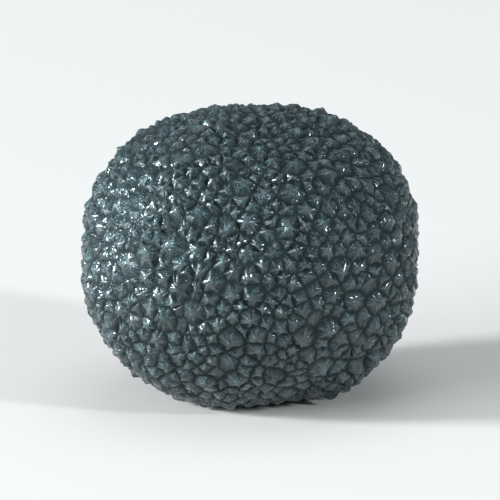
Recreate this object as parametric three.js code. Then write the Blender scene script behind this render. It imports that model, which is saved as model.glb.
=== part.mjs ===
// A black summer truffle, whole and brushed clean: one solid, a slightly flattened ball, covered all over in
// small pyramid-shaped warts that meet in narrow valleys. It lies on a small flat spot underneath.
// Millimetres, +Z up. The origin is the middle of its footprint, on the surface that it rests on.

import * as THREE from "three";
import { ConvexHull } from "three/addons/math/ConvexHull.js";
import { ImprovedNoise } from "three/addons/math/ImprovedNoise.js";

// Overall size.
const WIDTH = 28.5; // along X
const DEPTH = 27; // along Y
const HEIGHT = 24.5; // along Z, from the flat spot to the crown
const FOOT_SINK = 0.8; // how much of the rounded underside is pressed flat, wart tips included

// Form of the body under the warts.
const SQUARENESS = 2.3; // 2 is an ellipsoid, more gives broader shoulders
const LUMPS = [
  { height: 0.5, spacing: 9 }, // soft unevenness all over
  { height: 0.22, spacing: 4 },
];

// Broad swellings and hollows: where each one faces, how far it spreads in radians, and its height.
const SWELLINGS = [
  { name: "low left cheek", toward: [-0.95, -0.15, -0.2], spread: 0.5, rise: 0.5 },
  { name: "high right cheek", toward: [0.93, -0.2, 0.3], spread: 0.42, rise: 0.45 },
  { name: "flat of the crown", toward: [0.1, -0.1, 1], spread: 0.4, rise: -0.4 },
  { name: "rear lobe", toward: [0.45, 0.85, -0.05], spread: 0.38, rise: 1.3 },
  { name: "rear hollow", toward: [-0.3, 0.9, 0.35], spread: 0.24, rise: -1.5 },
  { name: "pit where it grew from the threads", toward: [-0.55, 0.6, -0.6], spread: 0.17, rise: -1.8 },
].map((swelling) => ({ ...swelling, toward: new THREE.Vector3(...swelling.toward).normalize() }));

// Warts.
const WART_WIDTH = 1.46; // mean width of the warts that are placed first
const WIDTH_SPREAD = 0.45; // widths differ by up to this share either way
const PACKING = 0.86; // nearest that two warts come, as a share of their touching distance
const MOST_MISSES = 1500; // draws in a row that find no room, after which the skin is taken as full
const RISE = 0.46; // height of a mean wart's tip above the valleys round it
const RISE_SPREAD = 0.9; // heights differ by up to half of this share either way
const VALLEY_SHARE = 0.4; // share of the rise that lies below the body's mean surface
const LEAN = 0.2; // how far a tip may stand from the middle of its wart, in wart widths
const SHORTEST_RIM = 0.2; // valley corners nearer than this are one corner

const MEAN_RADIUS = (WIDTH + DEPTH + HEIGHT) / 6;

// A seeded draw between 0 and 1, the same on every run.
function seededDraw(seed) {
  let state = seed;
  return () => {
    state = (state + 0x6d2b79f5) | 0;
    let bits = Math.imul(state ^ (state >>> 15), 1 | state);
    bits = (bits + Math.imul(bits ^ (bits >>> 7), 61 | bits)) ^ bits;
    return ((bits ^ (bits >>> 14)) >>> 0) / 2 ** 32;
  };
}

// Distance from the body's centre to its mean surface in one direction.
function bodyRadius(direction, noise) {
  const power = (value, size) => Math.abs((2 * value) / size) ** SQUARENESS;
  const sum = power(direction.x, WIDTH) + power(direction.y, DEPTH) + power(direction.z, HEIGHT);
  const radius = sum ** (-1 / SQUARENESS);
  let rise = 0;
  for (const { height, spacing } of LUMPS) {
    const place = direction.clone().multiplyScalar(radius / spacing);
    rise += height * noise.noise(place.x + 3.7, place.y + 1.3, place.z + 8.1);
  }
  for (const swelling of SWELLINGS) {
    rise += swelling.rise * Math.exp(-0.5 * (direction.angleTo(swelling.toward) / swelling.spread) ** 2);
  }
  return radius + rise;
}

// Warts of different widths drawn at random over the whole sphere, until there is no room for more.
function packedWarts(draw) {
  const warts = [];
  for (let misses = 0; misses < MOST_MISSES; misses++) {
    const height = 2 * draw() - 1;
    const turn = 2 * Math.PI * draw();
    const ring = Math.sqrt(1 - height * height);
    const middle = new THREE.Vector3(ring * Math.cos(turn), ring * Math.sin(turn), height);
    const width = WART_WIDTH * (1 + WIDTH_SPREAD * (2 * draw() - 1));
    const clear = (wart) =>
      middle.distanceTo(wart.middle) * MEAN_RADIUS > (PACKING * (width + wart.width)) / 2;
    if (!warts.every(clear)) continue;
    warts.push({ middle, width });
    misses = 0;
  }
  return warts;
}

// Splits the sphere into one cell for each wart, the wider the wart the wider the cell. A facet runs from a
// wart's middle to the stretch of its rim between two corners. Corners within the shortest rim become one.
function cellsOf(warts) {
  const raised = warts.map(({ middle, width }) =>
    middle.clone().divideScalar(Math.cos(width / 2 / MEAN_RADIUS)),
  );
  const wartOf = new Map(raised.map((point, i) => [point, warts[i]]));
  const { faces } = new ConvexHull().setFromPoints(raised);
  const edges = faces.flatMap((face) => [0, 1, 2].map((i) => face.getEdge(i)));
  const joined = new Map(faces.map((face) => [face, face]));
  const chief = (face) => (joined.get(face) === face ? face : chief(joined.get(face)));
  for (const { face, twin } of edges) {
    const rim = face.normal.distanceTo(twin.face.normal) * MEAN_RADIUS;
    if (rim < SHORTEST_RIM) joined.set(chief(twin.face), chief(face));
  }
  const corners = new Map();
  for (const face of faces) {
    const corner = corners.get(chief(face)) ?? new THREE.Vector3();
    corners.set(chief(face), corner.add(face.normal));
  }
  corners.forEach((corner) => corner.normalize());
  const facets = edges
    .map((edge) => ({
      wart: wartOf.get(edge.tail().point),
      from: corners.get(chief(edge.twin.face)),
      to: corners.get(chief(edge.face)),
    }))
    .filter(({ from, to }) => from !== to);
  return { corners: [...corners.values()], facets };
}

// The fruit body's surface: a tip and its facets for each wart, over the lumpy body.
function truffleGeometry() {
  const draw = seededDraw(20);
  const noise = new ImprovedNoise();
  const warts = packedWarts(draw);
  const { corners, facets } = cellsOf(warts);
  const either = () => 2 * draw() - 1;

  const at = (direction, rise) => direction.clone().multiplyScalar(bodyRadius(direction, noise) + rise);
  const tipPoint = new Map();
  for (const wart of warts) {
    const lean = (LEAN * wart.width) / MEAN_RADIUS;
    const offset = new THREE.Vector3(either(), either(), either()).multiplyScalar(lean);
    const rise = RISE * (1 - VALLEY_SHARE) * (wart.width / WART_WIDTH) * (1 + RISE_SPREAD * (draw() - 0.5));
    tipPoint.set(wart, at(wart.middle.clone().add(offset).normalize(), rise));
  }
  const cornerPoint = new Map(corners.map((corner) => [corner, at(corner, -VALLEY_SHARE * RISE)]));
  const points = facets.flatMap(({ wart, from, to }) => [
    tipPoint.get(wart),
    cornerPoint.get(from),
    cornerPoint.get(to),
  ]);
  return new THREE.BufferGeometry().setFromPoints(points);
}

// Presses the lowest part flat, and brings the whole to its overall size over its footprint.
function fitToSize(geometry) {
  const position = geometry.getAttribute("position");
  geometry.computeBoundingBox();
  const floor = geometry.boundingBox.min.z + FOOT_SINK;
  for (let i = 0; i < position.count; i++) position.setZ(i, Math.max(position.getZ(i), floor));
  geometry.computeBoundingBox();
  const size = geometry.boundingBox.getSize(new THREE.Vector3());
  const middle = geometry.boundingBox.getCenter(new THREE.Vector3());
  geometry.translate(-middle.x, -middle.y, -floor);
  geometry.scale(WIDTH / size.x, DEPTH / size.y, HEIGHT / size.z);
  geometry.computeVertexNormals();
  return geometry;
}

const skin = new THREE.MeshStandardMaterial({
  name: "truffle_skin",
  color: 0x2c3639,
  roughness: 0.5,
  metalness: 0,
});
const truffle = new THREE.Mesh(fitToSize(truffleGeometry()), skin);
truffle.name = "truffle";

const part = new THREE.Group();
part.add(truffle);
export default part;
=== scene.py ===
"""A black summer truffle, whole and moist, on a pale surface.

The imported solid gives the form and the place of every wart. The skin that is shown is grown from it: each
side of a wart is split finer and bulges or sinks between its ridges, each tip is worn blunt, and cracks and
fine grain cover the whole.
"""

import math
import random

import bmesh
import bpy
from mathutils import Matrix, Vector, noise
from mathutils.geometry import barycentric_transform


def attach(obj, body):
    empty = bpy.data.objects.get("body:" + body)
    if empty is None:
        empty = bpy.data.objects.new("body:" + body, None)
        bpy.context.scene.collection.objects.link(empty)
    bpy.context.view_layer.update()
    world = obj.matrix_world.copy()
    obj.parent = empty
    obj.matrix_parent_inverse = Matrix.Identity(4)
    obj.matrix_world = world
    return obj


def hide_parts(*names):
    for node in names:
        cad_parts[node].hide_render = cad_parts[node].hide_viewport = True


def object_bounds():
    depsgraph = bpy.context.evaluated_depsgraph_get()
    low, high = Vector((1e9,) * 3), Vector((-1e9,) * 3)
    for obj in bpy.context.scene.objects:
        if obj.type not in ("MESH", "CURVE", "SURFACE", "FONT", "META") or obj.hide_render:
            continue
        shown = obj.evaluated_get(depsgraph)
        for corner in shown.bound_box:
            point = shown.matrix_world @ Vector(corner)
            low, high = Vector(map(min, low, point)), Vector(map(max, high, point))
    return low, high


MM = 0.001

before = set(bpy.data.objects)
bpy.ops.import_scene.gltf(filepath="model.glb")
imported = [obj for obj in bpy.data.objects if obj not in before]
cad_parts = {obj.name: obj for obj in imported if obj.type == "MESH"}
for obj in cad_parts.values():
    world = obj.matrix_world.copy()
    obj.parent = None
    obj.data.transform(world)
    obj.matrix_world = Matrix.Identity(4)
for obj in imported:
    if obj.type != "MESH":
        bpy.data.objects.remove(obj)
cad_low, cad_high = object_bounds()
WIDTH = cad_high.x - cad_low.x
DEPTH = cad_high.y - cad_low.y
HEIGHT = cad_high.z - cad_low.z
CENTRE = (cad_low + cad_high) / 2

# The picture: looked at from the front, a little from above, from far away.
CAMERA_DISTANCE = 1.6
CAMERA_ELEVATION = math.radians(16.5)
WIDTH_IN_PICTURE = 0.68  # share of the picture's width that the truffle fills
FURTHEST_SEEN = 10 * CAMERA_DISTANCE

# Light and floor.
COOL_WHITE = (0.92, 1, 1.02)
SKY = (0.84, 0.98, 1.04, 1)
SKY_STRENGTH = 0.26
FLOOR_SIZE = 3  # metres, far past the edges of the picture
FLOOR_COLOUR = (0.7, 0.659, 0.645)  # warm enough to look neutral in the cool light

# Everything drawn at random starts from this, so every run grows the same skin. 0 would mean the clock.
SEED = 7

# Wart shape. Shares are of each wart's own rise.
CUTS_PER_EDGE = 4
DOME = (-0.35, 0.4)  # how far a wart's sides bulge: 0 is a straight pyramid, 1 a dome
WEAR = (0.0, 0.4)  # share of a tip that is worn off
SLANT = 0.42  # steepest slope of a worn top
LOWEST_TOP = 0.4  # no tip is worn lower than this share
WORN_RELIEF = 0.15  # share of what stood above a worn top that still shows on it
HOLLOW = (0.1, 0.5)  # dip in the middle of each side, between two ridges
CREST_FOOT = 0.25  # height above which ridges stand out in full
RIDGE_SHARPNESS = 4
NEAR_RIM = 0.01
NEAR_TIP = 0.99

# Valleys, cracks and grain.
GROOVE_SIZE = 2.2 * MM
GROOVE_DEPTH = 0.07 * MM  # valleys between warts are cut down by this, more in some places than others
GROOVE_MEAN = 0.5
GROOVE_SWING = 1.6
GROOVE_STEEPNESS = 6  # a groove ends at one part in this many of a wart's height
SWAY_SIZE = 1.1 * MM  # valleys and ridges wander sideways
SWAY = 0.15 * MM
CREASE_SIZE = 1.1 * MM  # cracks that run across the warts
CREASE_DEPTH = 0.09 * MM
CREASE_STEEPNESS = 5
GRAIN_SIZE = 0.4 * MM
GRAIN_HEIGHT = 0.055 * MM
SWELL = 0.06 * MM  # lifts the whole skin, to make up for what all this takes away
FLOOR_CLEARANCE = 0.02 * MM  # nothing lower than this is moved, so the foot stays flat
SAME_POINT = 1e-6

# Skin finish. Colours are linear, pattern sizes in millimetres.
# Valleys are darker than warts: partly dirt, partly painted shade in the recesses.
VALLEY_DIRT_AND_SHADE_BLACK = (0.005, 0.0075, 0.0086, 1)
WART_BLACK = (0.0088, 0.014, 0.016, 1)
# Paler on worn tips and along ridges: partly real wear, partly painted highlight on the crests.
WORN_AND_HIGHLIGHT_GREY = (0.055, 0.083, 0.092, 1)
# Pale flecks high on the warts: partly abrasions, partly painted glints.
FLECK_AND_GLINT_GREY = (0.17, 0.22, 0.24, 1)
FLECK_AND_GLINT_COVER = 0.8
COOL_SHINE = (0.6, 0.92, 1, 1)
SHINE = 0.4
FILM_ROUGHNESS = 0.05  # of the moisture on the warts
FINE_SIZE = 0.22
PATCH_SIZE = 0.7
BROAD_SIZE = 4
GRIT_SIZE = 0.17
STRIAE_SIZE = 0.6
STRIAE_TURN = 34  # radians of wave from a wart's rim to its tip
STRIAE_WANDER = 7
RELIEF_DEPTH = 0.06 * MM

# Where one finish turns into the next.
WART_EDGE = (-0.03, 0.45)
WORN_AND_HIGHLIGHT_EDGE = (0.35, 1.05)
MOIST_EDGE = (0.3, 0.5)
FLECK_GRIT_EDGE = (0.6, 0.8)
FLECK_HEIGHT_EDGE = (0.25, 0.7)
FLECK_FINE_EDGE = (0.52, 0.6)

# How far grain frays those edges, and how it shows in roughness and relief.
HEIGHT_FRAY = 0.3
PATCH_FRAY = 0.25
WEAR_AND_HIGHLIGHT_FRAY = 0.9
LEAST_WORN_AND_HIGHLIT = 0.2  # share of its paler wear and painted ridge highlight that the darkest wart shows
VALLEY_ROUGHNESS = 0.7
WART_POLISH = 0.43  # how much smoother a wart is than a valley
FINE_ROUGHNESS = 0.5
BROAD_ROUGHNESS = 0.25
FINE_RELIEF = 0.6
STRIAE_RELIEF = 0.12
GRAIN_BREAKUP = 0.55
MIDDLE = 0.5  # of anything that runs from 0 to 1

AXES = (Vector((1, 0, 0)), Vector((0, 1, 0)), Vector((0, 0, 1)))


# ---------------------------------------------------------------- skin mesh


def outward(point):
    """Direction straight out of the truffle's rounded body at a point of its skin."""
    offset = point - CENTRE
    return Vector((offset.x / WIDTH**2, offset.y / DEPTH**2, offset.z / HEIGHT**2)).normalized()


def wart_tips(skin):
    """All tips, in the order of their places.

    Each face joins one tip to two corners of its wart's rim, so one tip leads to the rest.
    """
    tips = [max(skin.verts, key=lambda vert: vert.co.z)]
    known = set(tips)
    for tip in tips:
        for face in tip.link_faces:
            rim = next(edge for edge in face.edges if tip not in edge.verts)
            for beyond in rim.link_faces:
                opposite = next(vert for vert in beyond.verts if vert not in rim.verts)
                if opposite not in known:
                    known.add(opposite)
                    tips.append(opposite)
    return sorted(tips, key=lambda tip: tip.co.to_tuple())


def wart_sides(skin):
    """Numbers every face, and lists for each number its tip, its two corners and its wart's traits."""
    number = skin.faces.layers.int.new("side")
    draw = random.Random(SEED)
    sides = []
    for tip in wart_tips(skin):
        rim = [edge.other_vert(tip).co for edge in tip.link_edges]
        middle = sum(rim, Vector()) / len(rim)
        traits = {
            "rise": (tip.co - middle).dot(outward(tip.co)),
            "dome": draw.uniform(*DOME),
            "hollow": draw.uniform(*HOLLOW),
            "wear": draw.uniform(*WEAR),
            "slant": Vector([draw.uniform(-SLANT, SLANT) for _ in AXES]),
            "tone": draw.random(),
        }
        for face in tip.link_faces:
            corners = [vert.co.copy() for vert in face.verts if vert is not tip]
            face[number] = len(sides)
            sides.append(((tip.co.copy(), *corners), traits))
    return sides


def rise_on_wart(up, ridge, off_tip, traits):
    """Height above a wart's rim, where a straight pyramid's is up times the wart's rise."""
    level = up + (traits["dome"] - 4 * traits["hollow"] * (1 - ridge)) * up * (1 - up)
    rise = level * traits["rise"]
    top = (1 - traits["wear"]) * traits["rise"] + off_tip.dot(traits["slant"])
    top = max(top, LOWEST_TOP * traits["rise"])
    return min(rise, top + WORN_RELIEF * (rise - top))


def groove(place, up):
    """Depth cut into the valley at a place, none far up a wart."""
    depth = GROOVE_MEAN + GROOVE_SWING * noise.noise(place / GROOVE_SIZE)
    return GROOVE_DEPTH * max(0, 1 - GROOVE_STEEPNESS * up) * max(0, depth)


def crease(place):
    """Depth of the crack at a place, none away from cracks."""
    return CREASE_DEPTH * max(0, 1 - CREASE_STEEPNESS * abs(noise.noise(place / CREASE_SIZE)))


def shape_warts(skin, sides):
    """Moves each point of the split skin, and notes its height, how far it is on a ridge, and its tone."""
    number = skin.faces.layers.int["side"]
    tip_share = skin.verts.layers.float.new("tip")
    crest = skin.verts.layers.float.new("crest")
    tone = skin.verts.layers.float.new("tone")
    for vert in skin.verts:
        corners, traits = sides[vert.link_faces[0][number]]
        up, left, right = barycentric_transform(vert.co, *corners, *AXES)
        up = min(max(up, 0), 1)
        ridge = abs(left - right) / (1 - up) if up < NEAR_TIP else 1
        vert[tip_share] = up
        vert[crest] = min(1, up / CREST_FOOT) * max(up, ridge**RIDGE_SHARPNESS)
        vert[tone] = traits["tone"] if up > NEAR_RIM else MIDDLE
        if vert.co.z < FLOOR_CLEARANCE:
            continue
        place = vert.co.copy()
        shift = rise_on_wart(up, ridge, place - corners[0], traits) - up * traits["rise"]
        shift -= groove(place, up)
        shift -= crease(place)
        shift += SWELL + GRAIN_HEIGHT * noise.noise(place / GRAIN_SIZE)
        vert.co += outward(place) * shift + noise.noise_vector(place / SWAY_SIZE) * SWAY
        vert.co.z = max(vert.co.z, 0)


def truffle_skin():
    """The whole fine skin, as one mesh object standing for the solid."""
    noise.seed_set(SEED)  # the vector noise would otherwise be offset by the clock
    skin = bmesh.new()
    skin.from_mesh(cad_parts["truffle"].data)
    bmesh.ops.remove_doubles(skin, verts=skin.verts, dist=SAME_POINT)
    sides = wart_sides(skin)
    bmesh.ops.subdivide_edges(skin, edges=skin.edges, cuts=CUTS_PER_EDGE, use_grid_fill=True)
    shape_warts(skin, sides)
    mesh = bpy.data.meshes.new("truffle_fine_skin")
    skin.to_mesh(mesh)
    skin.free()
    mesh.shade_smooth()
    piece = bpy.data.objects.new("truffle_fine_skin", mesh)
    bpy.context.scene.collection.objects.link(piece)
    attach(piece, "root")
    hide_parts("truffle")
    return piece


# ---------------------------------------------------------------- materials


class Signal:
    """A node's output socket that can be used in sums."""

    def __init__(self, finish, socket):
        self.finish = finish
        self.socket = socket

    def _math(self, operation, *values):
        return self.finish.node("ShaderNodeMath", {"operation": operation}, dict(enumerate(values)))

    def __add__(self, other):
        return self._math("ADD", self, other)

    def __sub__(self, other):
        return self._math("SUBTRACT", self, other)

    def __rsub__(self, other):
        return self._math("SUBTRACT", other, self)

    def __mul__(self, other):
        return self._math("MULTIPLY", self, other)

    def sine(self):
        return self._math("SINE", self)

    def between(self, low, high):
        """0 below low, 1 above high, smooth from one to the other."""
        return self.finish.node(
            "ShaderNodeMapRange",
            {"interpolation_type": "SMOOTHSTEP"},
            {"Value": self, "From Min": low, "From Max": high},
        )

    __radd__ = __add__
    __rmul__ = __mul__


class Finish:
    """A material under construction."""

    def __init__(self, name):
        self.material = bpy.data.materials.new(name)
        self.material.use_nodes = True
        self.tree = self.material.node_tree
        self.tree.nodes.clear()

    def node(self, kind, settings=None, inputs=None, output=0):
        """Adds a node, sets it, feeds its sockets with values or links, and returns one output."""
        made = self.tree.nodes.new(kind)
        for key, value in (settings or {}).items():
            setattr(made, key, value)
        for key, value in (inputs or {}).items():
            if isinstance(value, Signal):
                self.tree.links.new(value.socket, made.inputs[key])
            else:
                made.inputs[key].default_value = value
        return Signal(self, made.outputs[output]) if made.outputs else None

    def in_millimetres(self):
        """Object coordinates, one unit to the millimetre."""
        place = self.node("ShaderNodeTexCoord", output="Object")
        return self.node("ShaderNodeMapping", {}, {"Vector": place, "Scale": (1 / MM,) * 3})

    def noted(self, name):
        """What was noted under a name at each point of the skin."""
        return self.node("ShaderNodeAttribute", {"attribute_name": name}, output="Fac")

    def grain(self, place, size, detail=2.0):
        """Noise from 0 to 1, with features about size millimetres across."""
        return self.node(
            "ShaderNodeTexNoise",
            {},
            {"Vector": place, "Scale": 1 / size, "Detail": detail, "Roughness": GRAIN_BREAKUP},
            "Fac",
        )

    def granules(self, place, size):
        """1 in the middle of each granule about size millimetres across, falling to 0 between granules."""
        reach = self.node("ShaderNodeTexVoronoi", {}, {"Vector": place, "Scale": 1 / size}, "Distance")
        return 1 - reach

    def blend(self, share, first, second):
        """One colour turning into another."""
        return self.node(
            "ShaderNodeMix",
            {"data_type": "RGBA"},
            {"Factor": share, 6: first, 7: second},
            2,
        )

    def surface(self, **sockets):
        """The finished material, with the shader's sockets named by keyword."""
        named = {key.replace("_", " "): value for key, value in sockets.items()}
        shader = self.node("ShaderNodeBsdfPrincipled", {}, named)
        self.node("ShaderNodeOutputMaterial", {}, {"Surface": shader})
        return self.material


def truffle_black():
    """Near-black skin with a cool cast: darker and dull in valleys (partly painted shade), gritty and moist
    on warts, paler where worn and along ridges (partly painted highlight), with flecks that are partly
    painted glints.
    """
    finish = Finish("truffle_black")
    place = finish.in_millimetres()
    tip = finish.noted("tip")
    crest = finish.noted("crest")
    tone = finish.noted("tone")
    fine = finish.grain(place, FINE_SIZE, 3)
    patch = finish.grain(place, PATCH_SIZE)
    broad = finish.grain(place, BROAD_SIZE)
    grit = finish.granules(place, GRIT_SIZE)
    height = tip + HEIGHT_FRAY * (fine - MIDDLE)
    on_wart = (height + PATCH_FRAY * (patch - MIDDLE)).between(*WART_EDGE)

    # Darker towards the valleys: partly dirt, partly painted shade in the recesses between warts.
    colour = finish.blend(on_wart, VALLEY_DIRT_AND_SHADE_BLACK, WART_BLACK)
    # Paler on tips and ridges: partly real wear, partly painted highlight along the crests.
    worn_and_highlit = (crest + WEAR_AND_HIGHLIGHT_FRAY * (fine - MIDDLE)).between(*WORN_AND_HIGHLIGHT_EDGE)
    colour = finish.blend(worn_and_highlit * (LEAST_WORN_AND_HIGHLIT + (1 - LEAST_WORN_AND_HIGHLIT) * tone), colour, WORN_AND_HIGHLIGHT_GREY)
    # Pale flecks on wart tops: partly abrasions, partly painted glints.
    fleck_and_glint = grit.between(*FLECK_GRIT_EDGE) * height.between(*FLECK_HEIGHT_EDGE)
    fleck_and_glint = fleck_and_glint * fine.between(*FLECK_FINE_EDGE)
    colour = finish.blend(fleck_and_glint * FLECK_AND_GLINT_COVER, colour, FLECK_AND_GLINT_GREY)

    roughness = VALLEY_ROUGHNESS - WART_POLISH * on_wart
    roughness = roughness + FINE_ROUGHNESS * (fine - MIDDLE) + BROAD_ROUGHNESS * (broad - MIDDLE)
    moist = on_wart * patch.between(*MOIST_EDGE)
    striae = (tip * STRIAE_TURN + STRIAE_WANDER * finish.grain(place, STRIAE_SIZE, 1)).sine()
    relief = grit + FINE_RELIEF * fine + STRIAE_RELIEF * striae
    normal = finish.node("ShaderNodeBump", {}, {"Height": relief, "Strength": 1, "Distance": RELIEF_DEPTH})
    return finish.surface(
        Base_Color=colour,
        Roughness=roughness,
        Specular_IOR_Level=SHINE,
        Specular_Tint=COOL_SHINE,
        Normal=normal,
        Coat_Weight=moist,
        Coat_Roughness=FILM_ROUGHNESS,
    )


def matt(name, colour):
    """One colour with no gloss, so that no lamp is mirrored in it."""
    return Finish(name).surface(Base_Color=(*colour, 1), Roughness=1, Specular_IOR_Level=0)


# ---------------------------------------------------------------- studio


def aimed(obj, place, target):
    """Puts a camera or a lamp at a place, facing a target."""
    obj.location = place
    obj.rotation_mode = "QUATERNION"
    obj.rotation_quaternion = (target - place).to_track_quat("-Z", "Y")


def camera():
    """The camera, with a lens that makes the truffle fill its share of the picture."""
    made = bpy.data.objects.new("camera", bpy.data.cameras.new("camera"))
    bpy.context.scene.collection.objects.link(made)
    back = Vector((0, -math.cos(CAMERA_ELEVATION), math.sin(CAMERA_ELEVATION)))
    aimed(made, CENTRE + back * CAMERA_DISTANCE, CENTRE)
    made.data.lens = made.data.sensor_width * CAMERA_DISTANCE * WIDTH_IN_PICTURE / WIDTH
    made.data.clip_end = FURTHEST_SEEN
    bpy.context.scene.camera = made


def softbox(name, place, size, power):
    """A cool lamp facing the truffle. Its place is counted from the truffle's middle, in metres."""
    light = bpy.data.lights.new(name, "AREA")
    light.shape = "RECTANGLE"
    light.size, light.size_y = size
    light.energy = power
    light.color = COOL_WHITE
    made = bpy.data.objects.new(name, light)
    bpy.context.scene.collection.objects.link(made)
    aimed(made, CENTRE + Vector(place), CENTRE)


def lamps():
    """Four lamps, far enough away to light the floor evenly. The glint lamp is small, for crisp glints."""
    softbox("key_softbox", (-0.92, -0.68, 0.4), (0.8, 0.52), 10.4)
    softbox("glint_lamp", (-1.14, -0.16, 0.34), (0.2, 0.2), 26)
    softbox("top_softbox", (0.12, 0.24, 1.2), (1, 1), 4)
    softbox("edge_softbox", (0.84, -0.48, 0.4), (0.1, 0.16), 6)


def white_room():
    """Faint light from all round."""
    world = bpy.data.worlds.new("white_room")
    bpy.context.scene.world = world
    world.use_nodes = True
    sky = world.node_tree.nodes["Background"]
    sky.inputs["Color"].default_value = SKY
    sky.inputs["Strength"].default_value = SKY_STRENGTH


def pale_floor():
    """A plain floor at the height that the truffle rests on."""
    floor_mesh = bpy.data.meshes.new("floor")
    sheet = bmesh.new()
    bmesh.ops.create_grid(sheet, x_segments=1, y_segments=1, size=FLOOR_SIZE)
    sheet.to_mesh(floor_mesh)
    sheet.free()
    floor = bpy.data.objects.new("floor", floor_mesh)
    floor_mesh.materials.append(matt("pale_floor", FLOOR_COLOUR))
    bpy.context.scene.collection.objects.link(floor)


camera()
skin_piece = truffle_skin()
skin_piece.data.materials.append(truffle_black())
lamps()
white_room()
pale_floor()
bpy.context.scene.view_settings.view_transform = "Standard"
